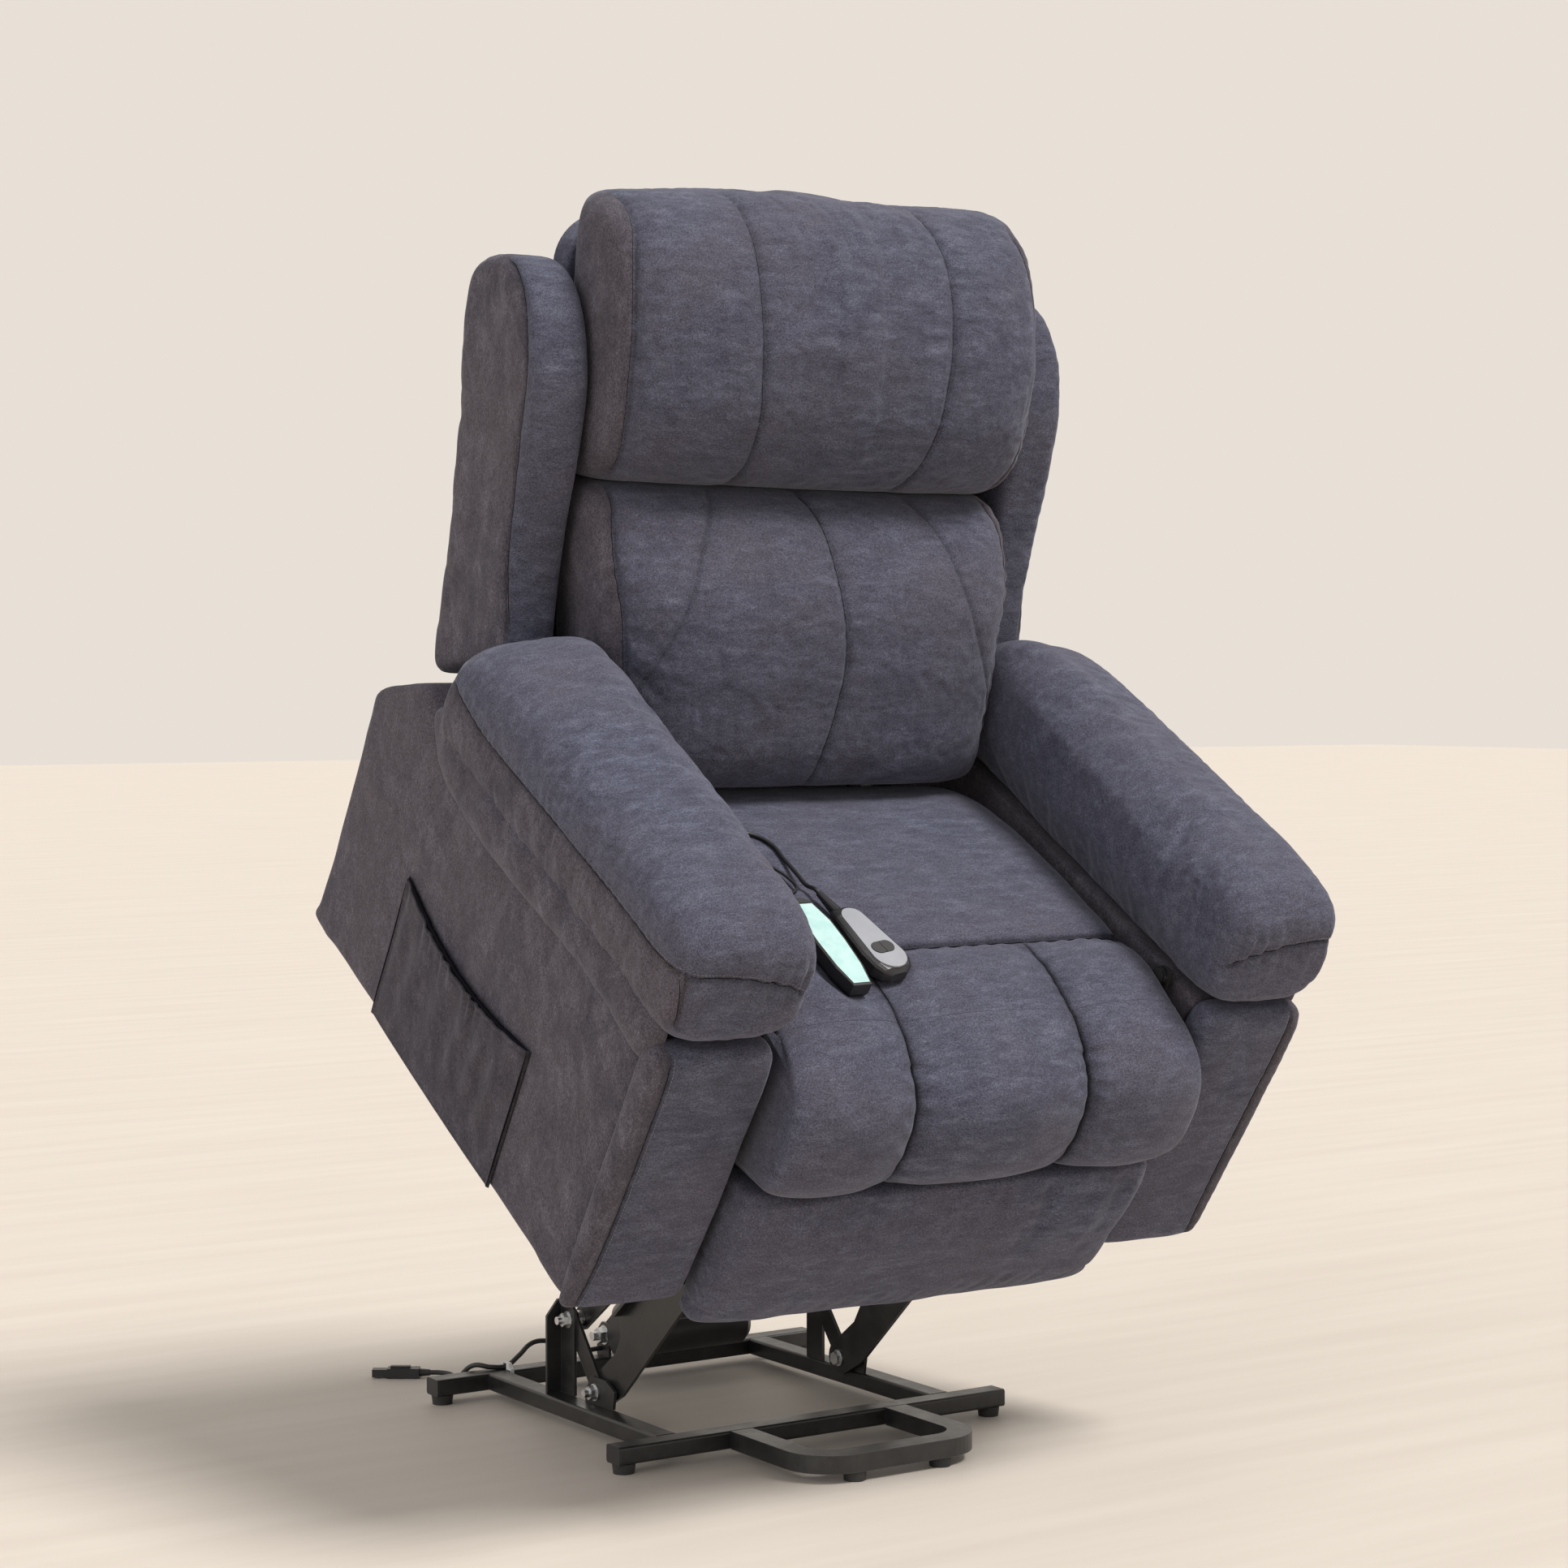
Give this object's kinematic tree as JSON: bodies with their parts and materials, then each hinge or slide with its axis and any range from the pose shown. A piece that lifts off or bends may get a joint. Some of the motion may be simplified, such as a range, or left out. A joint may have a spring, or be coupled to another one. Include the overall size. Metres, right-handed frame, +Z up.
{
  "type": "lift recliner chair",
  "caption": "Powered lift recliner chair shown raised: tube base with four-bar lift and actuator, padded winged back, folding footrest, side pocket and wired handsets",
  "frame": {"origin": "bottom centre of the bounding box, on the floor, in the raised pose and without the power cord, handset cords and power connector", "axes": "+X is the sitter's left, +Y the rear of the chair, +Z up; the chair faces -Y"},
  "size_m": [0.912, 1.0838, 1.5085],
  "materials": {
    "powder_coat": "satin",
    "zinc": "satin",
    "chrome": "polished",
    "black_plastic": "matte",
    "rubber": "matte",
    "cord": "satin",
    "white_plastic": "matte",
    "upholstery": "soft napped weave",
    "board": "raw board",
    "web": "woven strap",
    "silver_face": "satin",
    "mint_face": "gloss"
  },
  "bodies": {
    "base": {"front_rail": "powder_coat", "rear_rail": "powder_coat", "side_rail_left": "powder_coat", "side_rail_right": "powder_coat", "front_loop": "powder_coat", "rail_plugs": "black_plastic", "floor_feet": "rubber", "post_left": "powder_coat", "post_right": "powder_coat", "pivot_lugs": "powder_coat", "pivot_braces": "powder_coat", "upper_base_bolts": "zinc", "lower_base_bolts": "zinc", "actuator_bracket": "powder_coat", "actuator_bolt": "zinc", "power_cord": "cord", "cable_tie": "white_plastic", "power_connector": "black_plastic"},
    "lower_links": {"lower_link_left": "powder_coat", "lower_link_right": "powder_coat", "torque_tube": "powder_coat"},
    "upper_link_l": {"upper_link_left": "powder_coat"},
    "upper_link_r": {"upper_link_right": "powder_coat"},
    "actuator": {"gear_housing": "black_plastic", "motor": "black_plastic", "outer_tube": "black_plastic"},
    "rod": {"lift_rod": "chrome"},
    "seat_body": {"seat_frame": "powder_coat", "lift_brackets": "powder_coat", "seat_pins": "zinc", "seat_box": "board", "webbing": "web", "seat_cushion": "upholstery", "rear_panel": "upholstery", "arm_box_left": "upholstery", "arm_box_right": "upholstery", "front_panel_left": "upholstery", "front_panel_right": "upholstery", "arm_pad_left": "upholstery", "arm_pad_right": "upholstery", "side_pocket": "upholstery", "handset_shell": "black_plastic", "handset_face": "silver_face", "massage_handset": "black_plastic", "massage_face": "mint_face", "handset_cord": "cord", "massage_cord": "cord"},
    "up_button": {"button_up": "black_plastic"},
    "down_button": {"button_down": "black_plastic"},
    "backrest": {"back_frame": "board", "back_shell": "upholstery", "lumbar_cushion": "upholstery", "head_cushion": "upholstery", "wing_left": "upholstery", "wing_right": "upholstery"},
    "footrest_links": {"footrest_arms": "powder_coat"},
    "footrest": {"footrest_board": "board", "channel_pad": "upholstery", "foot_panel": "upholstery"}
  },
  "joints": [
    {"name": "lift", "type": "hinge", "parent": "base", "child": "lower_links", "pos_m": [0, 0.19433, 0.048], "axis": [1, 0, 0], "range_deg": [0, 33]},
    {"name": "seat_tilt", "type": "hinge", "parent": "lower_links", "child": "seat_body", "pos_m": [0, -0.13054, 0.32078], "axis": [1, 0, 0], "range_deg": [-64.6, 0]},
    {"name": "upper_link_left", "type": "hinge", "parent": "base", "child": "upper_link_l", "pos_m": [0, 0.25933, 0.127], "axis": [1, 0, 0], "range_deg": [0, 36.7]},
    {"name": "upper_link_right", "type": "hinge", "parent": "base", "child": "upper_link_r", "pos_m": [0, 0.25933, 0.127], "axis": [1, 0, 0], "range_deg": [0, 36.7]},
    {"name": "actuator_swing", "type": "hinge", "parent": "base", "child": "actuator", "pos_m": [-0.015, 0.42833, 0.062], "axis": [1, 0, 0], "range_deg": [0, 27.5]},
    {"name": "rod_slide", "type": "slide", "parent": "actuator", "child": "rod", "axis": [0, -0.7757, 0.6311], "range_m": [-0.0866, 0]},
    {"name": "backrest_recline", "type": "hinge", "parent": "seat_body", "child": "backrest", "pos_m": [0, 0.24244, 0.78391], "axis": [-1, 0, 0], "range_deg": [0, 45]},
    {"name": "footrest_arm", "type": "hinge", "parent": "seat_body", "child": "footrest_links", "pos_m": [0, -0.22453, 0.50479], "axis": [1, 0, 0], "range_deg": [0, 47.6]},
    {"name": "footrest_board", "type": "hinge", "parent": "footrest_links", "child": "footrest", "pos_m": [0, -0.30956, 0.57465], "axis": [1, 0, 0], "range_deg": [-135.6, 0]},
    {"name": "button_up_press", "type": "slide", "parent": "seat_body", "child": "up_button", "axis": [0, 0.6047, -0.7964], "range_m": [0, 0.001], "stiffness_N_per_m": 1500, "springref_m": -0.0005},
    {"name": "button_down_press", "type": "slide", "parent": "seat_body", "child": "down_button", "axis": [0, 0.6047, -0.7964], "range_m": [0, 0.001], "stiffness_N_per_m": 1500, "springref_m": -0.0005}
  ],
  "couplings": [
    {"joint": "seat_tilt", "follows": "lift", "ratio": -1.9545},
    {"joint": "upper_link_left", "follows": "lift", "ratio": 1.11},
    {"joint": "upper_link_right", "follows": "lift", "ratio": 1.11},
    {"joint": "actuator_swing", "follows": "lift", "ratio": 0.83},
    {"joint": "rod_slide", "follows": "lift", "m_per_rad": -0.15},
    {"joint": "footrest_arm", "follows": "backrest_recline", "ratio": 1.0556},
    {"joint": "footrest_board", "follows": "backrest_recline", "ratio": -3.0111}
  ]
}
